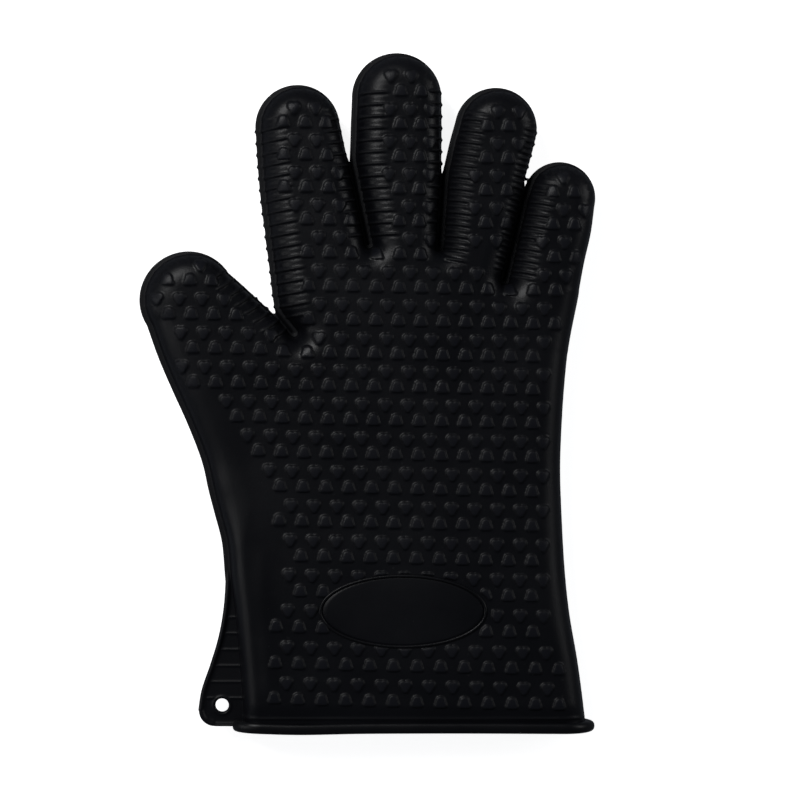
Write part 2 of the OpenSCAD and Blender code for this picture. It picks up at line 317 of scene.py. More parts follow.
CELL = 0.46
X_FROM, X_TO = -95.5, 95.5
Y_FROM, Y_TO = -137.0, 138.0
Z_FROM, Z_TO = -2.2, 27.0
xs = np.arange(X_FROM, X_TO, CELL)
ys = np.arange(Y_FROM, Y_TO, CELL)
zs = np.arange(Z_FROM, Z_TO, CELL)
GX, GY = np.meshgrid(xs, ys, indexing="ij")


def sample(field, x, y):
    """A field on the grid, read between its nodes."""
    i = np.clip((x - X_FROM) / CELL, 0, len(xs) - 1.001)
    j = np.clip((y - Y_FROM) / CELL, 0, len(ys) - 1.001)
    i0, j0 = i.astype(int), j.astype(int)
    u, v = i - i0, j - j0
    return (
        field[i0, j0] * (1 - u) * (1 - v)
        + field[i0 + 1, j0] * u * (1 - v)
        + field[i0, j0 + 1] * (1 - u) * v
        + field[i0 + 1, j0 + 1] * u * v
    )


DISTANCE_BLOCK = 2048  # grid nodes measured at a time


def true_distance(rough):
    """The distance to the outline, positive inside, from a rough field that is 0 on it."""
    points = []
    for axis in (0, 1):
        a = rough[:-1] if axis == 0 else rough[:, :-1]
        b = rough[1:] if axis == 0 else rough[:, 1:]
        i, j = np.nonzero((a > 0) != (b > 0))
        t = a[i, j] / (a[i, j] - b[i, j]) * CELL
        across, up = (t, 0) if axis == 0 else (0, t)
        points.append(np.stack([xs[i] + across, ys[j] + up], 1))
    points = np.concatenate(points).astype(np.float32)
    coarse_x, coarse_y = np.meshgrid(xs[::2], ys[::2], indexing="ij")
    nodes = np.stack([coarse_x.ravel(), coarse_y.ravel()], 1).astype(np.float32)
    best = np.empty(len(nodes), np.float32)
    for k in range(0, len(nodes), DISTANCE_BLOCK):
        block = nodes[k : k + DISTANCE_BLOCK]
        gap = (block[:, None, 0] - points[None, :, 0]) ** 2
        gap += (block[:, None, 1] - points[None, :, 1]) ** 2
        best[k : k + DISTANCE_BLOCK] = np.sqrt(gap.min(1))
    coarse = best.reshape(coarse_x.shape)
    coarse = np.where(rough[::2, ::2] > 0, coarse, -coarse)
    i = np.minimum((np.arange(len(xs)) / 2), coarse.shape[0] - 1.001)
    j = np.minimum((np.arange(len(ys)) / 2), coarse.shape[1] - 1.001)
    i0, j0 = i.astype(int), j.astype(int)
    u, v = (i - i0)[:, None], (j - j0)[None, :]
    rows = coarse[i0] * (1 - u) + coarse[i0 + 1] * u
    return rows[:, j0] * (1 - v) + rows[:, j0 + 1] * v


# ---- The skin's relief: hearts, ribs, and the soft unevenness of moulded silicone ----

PITCH_X, PITCH_Y = 8.9, 13.3
HEART_X, HEART_Y = -3.25, -4.65
UP_DROP = 5.6
# The rows of grips are turned a little against the glove, and the columns fan out towards the cuff
ROW_X, ROW_Y = math.cos(math.radians(-1.2)), math.sin(math.radians(-1.2))
FAN, FAN_MIDDLE = 0.00026, 16.0
# How far the grips have slipped up the glove from even rows: y, slip
ROW_SLIP = [(-122, -3.9), (-110, -3.4), (-98, -2.6), (-86, -1.6), (-74, -1.0), (-50, -0.35), (-26, 0),
            (-2, 0), (20, -0.7), (45, -1.0), (62, -1.2), (88, -2.4), (114, -3.6)]
# How far they have slipped sideways: out on the cuff, back on the fingers, and by drift per mm
CUFF_OUT, MIDDLE_BACK, OUTER_BACK = 0.9, 1.0, 1.5
INDEX_DRIFT, MIDDLE_DRIFT, THUMB_DRIFT = 0.051, 0.06, 0.085
THUMB_UP = 0.3
RIB_PITCH = 4.65
RIB_HEIGHT, GROOVE_DEPTH = 0.6, 0.28
RIB_WIDTH, BUMP_WIDTH = 0.46, 0.55
# Each rib has a groove beside it, this far off and this wide
GROOVE_OFF, GROOVE_WIDTH = 1.0, 0.42
# Share of a full rib's height: the finer ribs between, and the lines round the fingertips
FINE_SHARE, TIP_SHARE = 0.8, 0.4


def capsule(x, y, a, ra, b, rb):
    d = np.subtract(b, a)
    t = np.clip(((x - a[0]) * d[0] + (y - a[1]) * d[1]) / (d[0] ** 2 + d[1] ** 2), 0, 1)
    return np.hypot(x - a[0] - t * d[0], y - a[1] - t * d[1]) - ra - t * (rb - ra)


def heart_down(x, y):
    """Distance outside a heart that points down: two lobes with a shallow notch, one rounded tip."""
    return capsule(np.abs(x), y, (1.0, 0.95), 1.55, (0, -1.35), 1.25)


def heart_up(x, y):
    """The rounder grip that points up, nearly flat at its base."""
    lobe = capsule(np.abs(x), y, (1.55, -1.3), 1.0, (0, 0.15), 2.3)
    return np.minimum(lobe, capsule(x, y, (-1.55, -1.3), 1.0, (1.55, -1.3), 1.0))


# Edge of the hearts beside the smooth gusset of the thumb, from its tip down to the hem: y, x
GUSSET = [(-135, -39), (-122, -39), (-92, -38.8), (-84, -34.5), (-72, -33), (-62, -33), (-48, -38),
          (-36, -40), (-31, -41.5), (-22, -51), (-10, -59), (3, -66), (16, -75), (30, -83), (45, -86)]
RIGHT_MARGIN = [(-135, 9.8), (-108, 8.4), (-90, 9.2), (-40, 8), (20, 7.5), (50, 7.5)]
# How far hearts keep from a digit's left and right edges
HEART_KEEP = {
    "index": (12.6, 4.4), "middle": (11.5, 3.2), "ring": (11.0, 4.4), "little": (9.0, 5.0),
    "thumb": (5.6, 6.4),
}
# Room from a grip's centre to the outline, to the hem's line, and to the ends of the digits
GRIP_MARGIN, LOWEST_GRIP = 3.4, -124
FINGER_BARE, THUMB_BARE = 6.5, 6.0
THUMB_FROM = -14
# Where ribs run from, and to, measured from the left edge, and how far in from the right one
RIB_REACH = {
    "index": (1.0, 12.6, 7.6), "middle": (2.6, 13.6, 6.4), "ring": (2.6, 11.6, 6.4),
    "little": (2.8, 11.6, 0), "thumb": (0, 0, 9.2),
}
# Where ribs start along each digit, on its left side and on its right
RIB_START = {"index": -52.0, "middle": -27.0, "ring": -30.0, "little": -18.0, "thumb": -11.0}
RIGHT_START = {"index": -25.0, "middle": -24.0, "ring": -30.0, "thumb": -12.0}


def belongs(name, x, y):
    """True where a point is on that digit's side of the gaps beside it."""
    mine = np.ones(np.shape(x), bool)
    if name == "thumb":
        return to_segment(x, y, *THUMB_DIVIDE)[1] > 0
    k = FINGERS.index(name)
    if k > 0:
        mine &= x > divide_x(k - 1, y)
    if k < 3:
        mine &= x < divide_x(k, y)
    return mine


def slip(x, y):
    """How far the grips at a place have moved from the even lattice, to the right and up."""
    cuff = CUFF_OUT * ramp(-y, 80, 115) * (1 + x / 50)
    index = -INDEX_DRIFT * np.clip(y - 33, 0, 80) * (x < divide_x(0, y))
    middle = -(MIDDLE_BACK + MIDDLE_DRIFT * (x - 12)) * ramp(y, 45, 75)
    middle = middle * (x > divide_x(0, y)) * (x < divide_x(1, y))
    outer = -OUTER_BACK * ramp(y, 40, 70) * (x > divide_x(1, y))
    thumb = ramp(-x, 26, 44) * belongs("thumb", x, y)
    index = np.where(thumb > 0, -THUMB_DRIFT * np.maximum(y - 9, 0) * thumb, index)
    up = np.interp(y, *zip(*ROW_SLIP)) * (1 - thumb * ramp(y, 0, 12)) + THUMB_UP * thumb
    return cuff + index + middle + outer, up


def palm_keeps(x, y):
    """True where the palm and the cuff have grips."""
    right = hermite(y, *zip(*PALM_RIGHT)) - hermite(y, *zip(*RIGHT_MARGIN))
    kept = (x > hermite(y, *zip(*GUSSET))) & (x < right) & (y > LOWEST_GRIP)
    # beside the index finger the ribs come first
    s, across = local(DIGITS["index"], x, y)
    left, _ = digit_widths(DIGITS["index"], s)
    return kept & ~((s > RIB_START["index"]) & (across + left < 12.0) & (y > 26))


def digit_keeps(name, x, y):
    """True where a digit has grips: between its ribs, and short of its round tip."""
    digit = DIGITS[name]
    s, across = local(digit, x, y)
    left, right = digit_widths(digit, s)
    keep_left, keep_right = HEART_KEEP[name]
    if name == "index":
        keep_left = keep_left - 4.0 * ramp(s, -32, -20)
    tip_at, tip_long = digit["tip"]
    bare = THUMB_BARE if name == "thumb" else FINGER_BARE
    kept = (across + left > keep_left) & (right - across > keep_right)
    return kept & belongs(name, x, y) & (s < tip_at + tip_long - bare)


def heart_kept(x, y, margin):
    """True for a grip whose centre is on the part of the glove that has grips."""
    low_palm = y < np.interp(x, *zip(*PALM_TOP)) + 1.0
    on_finger = np.zeros(np.shape(x), bool)
    for name in FINGERS:
        past_root = local(DIGITS[name], x, y)[0] > DIGITS[name]["stations"][1][0]
        on_finger |= digit_keeps(name, x, y) & past_root & ~low_palm
    in_thumb = (local(DIGITS["thumb"], x, y)[0] > THUMB_FROM) & belongs("thumb", x, y)
    on_hand = np.where(in_thumb, digit_keeps("thumb", x, y), low_palm & palm_keeps(x, y))
    return (margin > GRIP_MARGIN) & (on_hand | on_finger)


FAR = 9.0  # farther from any grip than matters
DOME_REACH = 2.6


def heart_field(inside, with_badge):
    """Height share, 0 to 1, of the raised grips over the grid."""
    nearest, centre = np.full(GX.shape, FAR), np.full(GX.shape, FAR)
    slip_x, slip_y = slip(GX, GY)
    x, y = GX - slip_x - HEART_X, GY - slip_y - HEART_Y
    along, up = x * ROW_X + y * ROW_Y, y * ROW_X - x * ROW_Y
    for shape, u0, v0 in ((heart_down, 0, 0), (heart_up, PITCH_X / 2, -UP_DROP)):
        v = v0 + np.round((up - v0) / PITCH_Y) * PITCH_Y
        spread = 1 - FAN * v
        u = u0 + np.round((along - u0 - (1 - spread) * FAN_MIDDLE) / (PITCH_X * spread)) * PITCH_X
        u = FAN_MIDDLE + (u - FAN_MIDDLE) * spread
        even_x = HEART_X + u * ROW_X - v * ROW_Y
        even_y = HEART_Y + u * ROW_Y + v * ROW_X
        slip_x, slip_y = slip(even_x, even_y)
        slip_x, slip_y = slip(even_x + slip_x, even_y + slip_y)
        cx, cy = even_x + slip_x, even_y + slip_y
        margin = sample(inside, cx, cy)
        kept = heart_kept(cx, cy, margin)
        gap = shape(GX - cx, GY - cy)
        nearest = np.where(kept, np.minimum(nearest, gap), nearest)
        centre = np.where(kept, np.minimum(centre, np.hypot(GX - cx, GY - cy)), centre)
    dome = 1 - np.clip(centre / DOME_REACH, 0, 1) ** 2
    height = ramp(-nearest, -0.25, 0.3) * (0.8 + 0.2 * dome)
    if with_badge:
        oval_x = (GX - BADGE_CENTRE[0]) / BADGE_HALF[0]
        oval = np.hypot(oval_x, (GY - BADGE_CENTRE[1]) / BADGE_HALF[1])
        height = height * ramp(oval, 1.0, 1.03)
    return height


def rib_sides(name, from_left, from_right, s):
    """Where a digit has ribs across it: a band on its left, a band on its right, or both."""
    band, long, short = RIB_REACH[name]
    shown = np.zeros(GX.shape)
    if long:
        fade_in = ramp(from_left, band - 0.6, band + 0.8)
        shown = np.maximum(shown, fade_in * (1 - ramp(from_left, long - 2.6, long + 0.8)))
    if short:
        low = RIGHT_START[name]
        right_side = (1 - ramp(from_right, short - 2.6, short + 0.8)) * ramp(s, low, low + 1)
        shown = np.maximum(shown, right_side)
    return shown


def rib_field():
    """Height share of the fine ribs along the sides of the digits, and of the groove beside each."""
    total, grooves = np.zeros(GX.shape), np.zeros(GX.shape)
    for name, digit in DIGITS.items():
        s, across = local(digit, GX, GY)
        left, right = digit_widths(digit, s)
        from_left, from_right = across + left, right - across
        # the ribs bow a little towards the tip at the edge
        bow = 0.35 * np.cos(np.clip(from_left / 8, 0, math.pi)) if name == "index" else 0
        offset = (s + bow) - np.round((s + bow) / RIB_PITCH) * RIB_PITCH
        phase = np.abs(offset)
        ridge = np.exp(-((phase / RIB_WIDTH) ** 2))
        groove = np.exp(-(((offset + GROOVE_OFF) / GROOVE_WIDTH) ** 2))
        if name in ("ring", "little"):
            fine = np.exp(-(((RIB_PITCH / 2 - phase) / RIB_WIDTH) ** 2))
            ridge = np.maximum(ridge, FINE_SHARE * fine)
        start, tip_at = RIB_START[name], digit["tip"][0]
        reach = ramp(s, start, start + 1) * (1 - ramp(s, tip_at + 2, tip_at + 6))
        shown = rib_sides(name, from_left, from_right, s)
        mine = belongs(name, GX, GY)
        if name == "index":
            # its ribs run on below the web, down beside the thumb
            mine = GX < np.where(GY > DIVIDES[0][0][1], divide_x(0, GY), 0)
        near = (from_left > -4) & (from_right > -4)
        total = np.maximum(total, ridge * shown * reach * mine * near)
        grooves = np.maximum(grooves, groove * shown * reach * mine * near)
        total = np.maximum(total, TIP_SHARE * tip_lines(digit, s, across) * mine)
    return total, grooves


EDGE_FROM, EDGE_TO = 8, 25  # how far across a finger its edge can be


def edge_bumps():
    """Where ribs run right out to the edge of a finger and show in its outline, 0 to 1."""
    total = np.zeros(GX.shape)
    for name, side in (("index", -1), ("middle", 1), ("ring", 1)):
        digit = DIGITS[name]
        s, across = local(digit, GX, GY)
        phase = np.abs(s / RIB_PITCH - np.round(s / RIB_PITCH)) * RIB_PITCH
        start, end = RIB_START[name], digit["tip"][0]
        reach = ramp(s, start, start + 1) * (1 - ramp(s, end, end + 3))
        at_edge = (across * side > EDGE_FROM) & (np.abs(across) < EDGE_TO) & belongs(name, GX, GY)
        total = np.maximum(total, np.exp(-((phase / BUMP_WIDTH) ** 2)) * reach * at_edge)
    return total


TIP_LINE_STEP = 17  # degrees
TIP_LINE_WIDTH = 0.5


def tip_lines(digit, s, across):
    """Short lines that fan out round a fingertip."""
    tip_at, tip_long = digit["tip"]
    reach = np.hypot(across, s - tip_at)
    angle = np.arctan2(across, s - tip_at)
    step = math.radians(TIP_LINE_STEP)
    off = np.abs(angle / step - np.round(angle / step)) * step * reach
    fan = np.exp(-((off / TIP_LINE_WIDTH) ** 2)) * (s > tip_at + 3)
    fade_in = ramp(reach, tip_long - 5, tip_long - 3.5)
    return fan * fade_in * (1 - ramp(reach, tip_long - 1.6, tip_long - 0.6))


def unevenness(x, y):
    """The slow waviness of a soft moulding, in mm, never above 0."""
    waves = (
        0.24 * np.sin(x / 17.0 + 0.6 * np.sin(y / 31.0) + 0.4)
        + 0.2 * np.sin(y / 23.0 + 0.8 * np.sin(x / 37.0) + 1.9)
        + 0.14 * np.sin((x + y) / 12.5 + 2.2)
    )
    # a shallow fold that runs from the thumb's gusset down the side of the cuff
    crease = np.exp(-(((x + 41.5 + 0.06 * (y + 90)) / 3.2) ** 2))
    fold = 0.7 * crease * ramp(y, -126, -112) * (1 - ramp(y, -76, -58))
    sag = 1.1 * np.exp(-(((x + 52) / 16) ** 2 + ((y + 22) / 22) ** 2))
    return waves - 0.58 + fold - sag


# ---- The skin as a solid field ----

POWER = 2.3  # of the rounded section: 2 is an ellipse
FLANGE_HALF = 1.2
# Beside a slit the flange ends this far inside the whole outline, and that counts as beside it
FLANGE_AT_SLIT, BESIDE_SLIT = 0.9, 1.3
FLANGE_ROUND, FLANGE_BLEND = 0.5, 0.7
SLIT_SLANT = 0.8
SKIN_INSET = 1.45
BUMP_OUT = 0.55
SKIN_SHIFT = 2  # grid cells that the skin sits to the right of the parting line
LEAN = 1.5
WALL = 1.7
BAND = 1.5  # how far from the surface the field is kept


def thickness(x, y, half):
    """Half thickness of the glove where it is full."""
    slim = 0.9 * ramp(y, 60, 112)
    neck = 1.5 * ramp(-y, 122, 130.5)
    calm = ramp(np.hypot((x - BADGE_CENTRE[0]) / 48, (y - BADGE_CENTRE[1]) / 28), 0.8, 1.6)
    return half - slim - neck + calm * unevenness(x, y)


def edge_reach(x, y):
    """How far in from the outline the rounded edge runs: least along the cuff's tight left fold."""
    fold = ramp(-x, 30, 44) * ramp(-y, 40, 62)
    return 12.5 - 6.5 * fold - 2.5 * ramp(y, 30, 62)


def body_field(inside, edge, half, z):
    """Roughly the distance outside the smooth glove at one level z."""
    q = np.maximum(1 - inside / edge, 0)
    w = abs(z - MID_Z) / half
    size = np.maximum((q**POWER + w**POWER) ** (1 / POWER), 1e-3)
    slope = np.hypot((q / size) ** (POWER - 1) / edge, (w / size) ** (POWER - 1) / half)
    return (size - 1) / np.maximum(slope, 1e-4)


def mesh_field(volume, origin, cell):
    """Vertices and quads of the surface where a field is 0."""
    grid = openvdb.FloatGrid(background=BAND)
    grid.copyFromArray(np.clip(volume, -BAND, BAND).astype(np.float32), tolerance=0.0)
    points, quads = grid.convertToQuads(isovalue=0.0)
    return points.astype(float) * cell + np.array(origin), quads.astype(np.int64)


def lean_over(points):
    """The front half is moulded a little to the right of the parting line."""
    lift = np.clip((points[:, 2] - MID_Z) / FRONT_HALF, 0, 1)
    points[:, 0] += LEAN * lift
    return points


def slant(z):
    """How far the slits lean to the right at a level, so that no light comes straight up."""
    return SLIT_SLANT * np.clip(z - MID_Z, -FLANGE_HALF, FLANGE_HALF)


def outer_skin(inside, whole, front_relief, back_relief):
    """Vertices and quads of the outside."""
    shifted = np.roll(inside, SKIN_SHIFT, axis=0) - SKIN_INSET
    front, back = thickness(GX, GY, FRONT_HALF), thickness(GX, GY, BACK_HALF)
    edge = edge_reach(GX, GY)
    # The flanges of two neighbours meet at a slit, and only the slanted cut parts them
    beside_slit = slit_gap(GX, GY) > -BESIDE_SLIT
    joined = np.maximum(inside, np.minimum(whole, FLANGE_AT_SLIT))
    flange = np.where(beside_slit, joined, inside) + BUMP_OUT * edge_bumps()
    gaps = {shift: slit_gap(GX - shift, GY) for shift in sorted({float(slant(z)) for z in zs})}
    volume = np.empty((len(xs), len(ys), len(zs)), np.float32)
    for k, z in enumerate(zs):
        half, relief = (front, front_relief) if z > MID_Z else (back, back_relief)
        field = body_field(shifted, edge, half, z) - relief
        rim = smooth_max(abs(z - MID_Z) - FLANGE_HALF, -flange, FLANGE_ROUND)
        field = smooth_min(field, rim, FLANGE_BLEND)
        volume[:, :, k] = np.maximum(field, gaps[float(slant(z))])
    points, quads = mesh_field(volume, (X_FROM, Y_FROM, Z_FROM), CELL)
    return lean_over(points), quads


INNER_STEP = 3  # grid cells of the outside for one of the inside


def inner_skin(inside):
    """Vertices and quads of the hollow inside, coarser, facing the hand."""
    shifted = (np.roll(inside, SKIN_SHIFT, axis=0) - SKIN_INSET)[::INNER_STEP, ::INNER_STEP]
    x, y = GX[::INNER_STEP, ::INNER_STEP], GY[::INNER_STEP, ::INNER_STEP]
    front, back = thickness(x, y, FRONT_HALF), thickness(x, y, BACK_HALF)
    levels = np.arange(Z_FROM, Z_TO, CELL * INNER_STEP)
    edge = edge_reach(x, y)
    layers = [body_field(shifted, edge, front if z > MID_Z else back, z) for z in levels]
    volume = np.stack(layers, axis=2) + WALL
    points, quads = mesh_field(volume, (X_FROM, Y_FROM, Z_FROM), CELL * INNER_STEP)
    return lean_over(points), quads


# ---- Cutting the skin into its pieces ----

SEAM_CLEAR = 0.5
SKIN_END = MOUTH_Y - 1.2
# Half widths: of a cut across the whole hand, and across a thumb or finger
HAND_CUT, THUMB_CUT, FINGER_CUT = 400, 30, 24
DIGIT_SPAN = 32


def seams():
    """Name, point, direction and half width of each cut across the skin."""
    found = [
        ("wrist", (0, WRIST_Y), (0, 1), HAND_CUT),
        ("mouth", (0, SKIN_END), (0, 1), HAND_CUT),
    ]
    for name, digit in DIGITS.items():
        start, swap, _ = digit["zones"]
        half = THUMB_CUT if name == "thumb" else FINGER_CUT
        for part, at in (("root", start - SEAM_CLEAR), ("mid", swap)):
            point = digit["place"] + digit["way"] * at
            found.append((f"{name}_{part}", tuple(point), tuple(digit["way"]), half))
    return found


def label_of(x, y, z):
    """Which piece each point belongs to."""
    upright = x - slant(z) - LEAN * np.clip((z - MID_Z) / FRONT_HALF, 0, 1)
    label = np.where(y > WRIST_Y, 0, 1)
    label = np.where(y < SKIN_END, -1, label)
    for k, (name, digit) in enumerate(DIGITS.items()):
        start, swap, _ = digit["zones"]
        s, across = local(digit, x, y)
        mine = belongs(name, upright, y) & (s > start - SEAM_CLEAR) & (np.abs(across) < DIGIT_SPAN)
        label = np.where(mine, 2 + 2 * k, label)
        label = np.where(mine & (s > swap), 3 + 2 * k, label)
    return label


def near_seam(points, quads, seam):
    """Faces that a seam's plane runs through."""
    _, at, way, half = seam
    d = (points[:, 0] - at[0]) * way[0] + (points[:, 1] - at[1]) * way[1]
    across = (points[:, 0] - at[0]) * way[1] - (points[:, 1] - at[1]) * way[0]
    d = d[quads]
    hit = (d.min(1) < 0.01) & (d.max(1) > -0.01)
    hit &= np.abs(across[quads[:, 0]]) < half
    return np.nonzero(hit)[0]


def cut_skin(outer, inner):
    """One bmesh of both skins, cut along every seam."""
    points = np.concatenate([outer[0], inner[0]])
    quads = np.concatenate([outer[1], inner[1][:, ::-1] + len(outer[0])])
    mesh = bpy.data.meshes.new("whole")
    mesh.from_pydata(points, [], quads)
    bm = bmesh.new()
    bm.from_mesh(mesh)
    bpy.data.meshes.remove(mesh)
    bm.faces.ensure_lookup_table()
    jobs = [(seam, [bm.faces[i] for i in near_seam(points, quads, seam)]) for seam in seams()]
    for (_, at, way, _), faces in jobs:
        faces = [f for f in faces if f.is_valid]
        edges = {e for f in faces for e in f.edges}
        verts = {v for f in faces for v in f.verts}
        bmesh.ops.bisect_plane(
            bm, geom=[*verts, *edges, *faces], dist=0.02,
            plane_co=(at[0], at[1], 0), plane_no=(way[0], way[1], 0),
        )
    return bm


def mesh_arrays(bm):
    """A bmesh's vertices, its faces' corners in one row, and where each face starts in it."""
    mesh = bpy.data.meshes.new("cut")
    bm.to_mesh(mesh)
    bm.free()
    points = np.empty(len(mesh.vertices) * 3)
    mesh.vertices.foreach_get("co", points)
    corners = np.empty(len(mesh.loops), np.int64)
    mesh.loops.foreach_get("vertex_index", corners)
    starts = np.empty(len(mesh.polygons), np.int64)
    mesh.polygons.foreach_get("loop_start", starts)
    bpy.data.meshes.remove(mesh)
    return points.reshape(-1, 3), corners, starts


def piece_mesh(name, points, corners, starts, chosen):
    """A mesh in mm from some of the faces."""
    ends = np.append(starts[1:], len(corners))
    counts = (ends - starts)[chosen]
    first = np.repeat(starts[chosen], counts)
    steps = np.arange(counts.sum()) - np.repeat(np.cumsum(counts) - counts, counts)
    used, index = np.unique(corners[first + steps], return_inverse=True)
    mesh = bpy.data.meshes.new(name)
    mesh.vertices.add(len(used))
    mesh.vertices.foreach_set("co", points[used].astype(np.float32).ravel())
    mesh.loops.add(len(index))
    mesh.loops.foreach_set("vertex_index", index.astype(np.int32))
    mesh.polygons.add(len(chosen))
    mesh.polygons.foreach_set("loop_start", (np.cumsum(counts) - counts).astype(np.int32))
    mesh.update(calc_edges=True)
    mesh.validate()
    return mesh


def close_piece(mesh, cuts):
    """Fills the ring between outside and inside at each cut; returns how many edges stay open."""
    bm = bmesh.new()
    bm.from_mesh(mesh)
    for _, at, way, half in cuts:
        def level(v):
            return (v.co.x - at[0]) * way[0] + (v.co.y - at[1]) * way[1]
        def across(v):
            return (v.co.x - at[0]) * way[1] - (v.co.y - at[1]) * way[0]
        ring = [
            e for e in bm.edges
            if e.is_boundary and all(abs(level(v)) < 0.05 and abs(across(v)) < half for v in e.verts)
        ]
        if not ring:
            continue
        for v in {v for e in ring for v in e.verts}:
            off = level(v)
            v.co.x -= off * way[0]
            v.co.y -= off * way[1]
        bmesh.ops.triangle_fill(bm, edges=ring, use_beauty=True, normal=(way[0], way[1], 0))
        for e in ring:
            e.smooth = False
    bmesh.ops.recalc_face_normals(bm, faces=bm.faces)
    open_edges = sum(1 for e in bm.edges if not e.is_manifold)
    bm.to_mesh(mesh)
    bm.free()
    return open_edges


def add_piece(name, mesh, material):
    """A smooth-shaded object from a mesh in mm."""
    co = np.empty(len(mesh.vertices) * 3, np.float32)
    mesh.vertices.foreach_get("co", co)
    mesh.vertices.foreach_set("co", co * MM)
    mesh.polygons.foreach_set("use_smooth", np.ones(len(mesh.polygons), bool))
    mesh.materials.clear()
    mesh.materials.append(material)
    mesh.update()
    piece = bpy.data.objects.new(name, mesh)
    bpy.context.scene.collection.objects.link(piece)
    return piece


def store_relief(mesh, front_relief, back_relief):
    """How far each vertex stands in the relief, 0 to 1, for the material."""
    co = np.empty(len(mesh.vertices) * 3)
    mesh.vertices.foreach_get("co", co)
    co = co.reshape(-1, 3)
    rise = co[:, 2] - MID_Z
    x, y = co[:, 0] - LEAN * np.clip(rise / FRONT_HALF, 0, 1), co[:, 1]
    value = np.where(co[:, 2] > MID_Z, sample(front_relief, x, y), sample(back_relief, x, y))
    # the flange's edge is as dull as the rims of the grips
    value = np.where(np.abs(rise) < FLANGE_HALF + 0.3, GRIP_HEIGHT / 2, value)
    layer = mesh.attributes.new("relief", "FLOAT", "POINT")
    layer.data.foreach_set("value", (value / GRIP_HEIGHT).astype(np.float32))


# ---- Materials ----


def node(tree, kind, **inputs):
    """A new node with some of its inputs set."""
    made = tree.nodes.new(kind)
    for key, value in inputs.items():
        made.inputs[key.replace("_", " ")].default_value = value
    return made


def shade(base, times):
    """A colour made darker or paler."""
    return (*[c * times for c in base], 1)


def colour_mix(tree):
    made = tree.nodes.new("ShaderNodeMix")
    made.data_type = "RGBA"
    return made


def relief_shading(tree, base, colour, roughness):
    """Duller rims on the grips, and a painted highlight that makes their tops paler, both from the
    mesh's relief attribute.
    """
    raised = tree.nodes.new("ShaderNodeAttribute")
    raised.attribute_name = "relief"
    flank = tree.nodes.new("ShaderNodeMath")
    flank.operation = "PINGPONG"
    flank.inputs[1].default_value = 0.5
    dull = tree.nodes.new("ShaderNodeMath")
    dull.operation = "MULTIPLY_ADD"
    dull.inputs[1].default_value = 0.5
    # painted highlight: towards the crown of each grip the colour is mixed up to 2.3 times paler
    painted_highlight_crown = node(tree, "ShaderNodeMapRange", From_Min=0.6)
    painted_lit_tops = colour_mix(tree)
    painted_lit_tops.inputs["B"].default_value = shade(base, 2.3)
    tree.links.new(raised.outputs["Fac"], flank.inputs[0])
    tree.links.new(flank.outputs["Value"], dull.inputs[0])
    tree.links.new(roughness, dull.inputs[2])
    tree.links.new(raised.outputs["Fac"], painted_highlight_crown.inputs["Value"])
    tree.links.new(painted_highlight_crown.outputs["Result"], painted_lit_tops.inputs["Factor"])
    tree.links.new(colour, painted_lit_tops.inputs["A"])
    return painted_lit_tops.outputs["Result"], dull.outputs["Value"]


def grain_bump(tree, noise, pores, grain):
    """The bump of the fine grain, from its noise and its pores."""
    mixed = tree.nodes.new("ShaderNodeMath")
    mixed.operation = "ADD"
    tree.links.new(noise.outputs["Fac"], mixed.inputs[0])
    tree.links.new(pores.outputs["Distance"], mixed.inputs[1])
    bump = node(tree, "ShaderNodeBump", Strength=0.22 * grain, Distance=0.00012)
    tree.links.new(mixed.outputs["Value"], bump.inputs["Height"])
    return bump.outputs["Normal"]


def silicone(name, base, rough, with_relief=False, grain=1.0):
    """Black moulded silicone: satin, faintly cloudy, with a fine grain and a few dust specks."""
    material = bpy.data.materials.new(name)
    material.use_nodes = True
    tree = material.node_tree
    links = tree.links
    shader = tree.nodes["Principled BSDF"]
    shader.inputs["Specular IOR Level"].default_value = 0.22
    where = tree.nodes.new("ShaderNodeTexCoord").outputs["Object"]

    cloud = node(tree, "ShaderNodeTexNoise", Scale=38.0, Detail=4.0, Roughness=0.55)
    noise = node(tree, "ShaderNodeTexNoise", Scale=1500.0, Detail=2.0, Roughness=0.5)
    pores = node(tree, "ShaderNodeTexVoronoi", Scale=2100.0)
    dust = node(tree, "ShaderNodeTexNoise", Scale=620.0, Detail=1.0)
    for texture in (cloud, noise, pores, dust):
        links.new(where, texture.inputs["Vector"])

    tint = colour_mix(tree)
    tint.inputs["A"].default_value = shade(base, 0.8)
    tint.inputs["B"].default_value = shade(base, 1.45)
    links.new(cloud.outputs["Fac"], tint.inputs["Factor"])
    specks = node(tree, "ShaderNodeMapRange", From_Min=0.74, From_Max=0.8, To_Max=0.16)
    links.new(dust.outputs["Fac"], specks.inputs["Value"])
    dusted = colour_mix(tree)
    dusted.inputs["B"].default_value = (0.05, 0.05, 0.052, 1)
    links.new(tint.outputs["Result"], dusted.inputs["A"])
    links.new(specks.outputs["Result"], dusted.inputs["Factor"])
    gloss = node(tree, "ShaderNodeMapRange", From_Min=0.3, From_Max=0.7)
    gloss.inputs["To Min"].default_value = rough - 0.05
    gloss.inputs["To Max"].default_value = rough + 0.06
    links.new(cloud.outputs["Fac"], gloss.inputs["Value"])

    colour, roughness = dusted.outputs["Result"], gloss.outputs["Result"]
    # the grips get duller rims, and a painted highlight that makes their tops paler
    if with_relief:
        colour, roughness = relief_shading(tree, base, colour, roughness)
    links.new(colour, shader.inputs["Base Color"])
    links.new(roughness, shader.inputs["Roughness"])
    links.new(grain_bump(tree, noise, pores, grain), shader.inputs["Normal"])
    return material


SKIN_BLACK = (0.0027, 0.0029, 0.0042)
BEAD_BLACK = (0.0025, 0.0026, 0.0036)

# ---- Hem, tab and badge ----

BEAD_OUT = 1.55
HEM_RISE = 1.3
# The swell of the bead at its right end, where it stands off the flat skin
BEAD_SWELL = 1.1
RIM_HALF = 0.62
RIM_TALL = 0.75


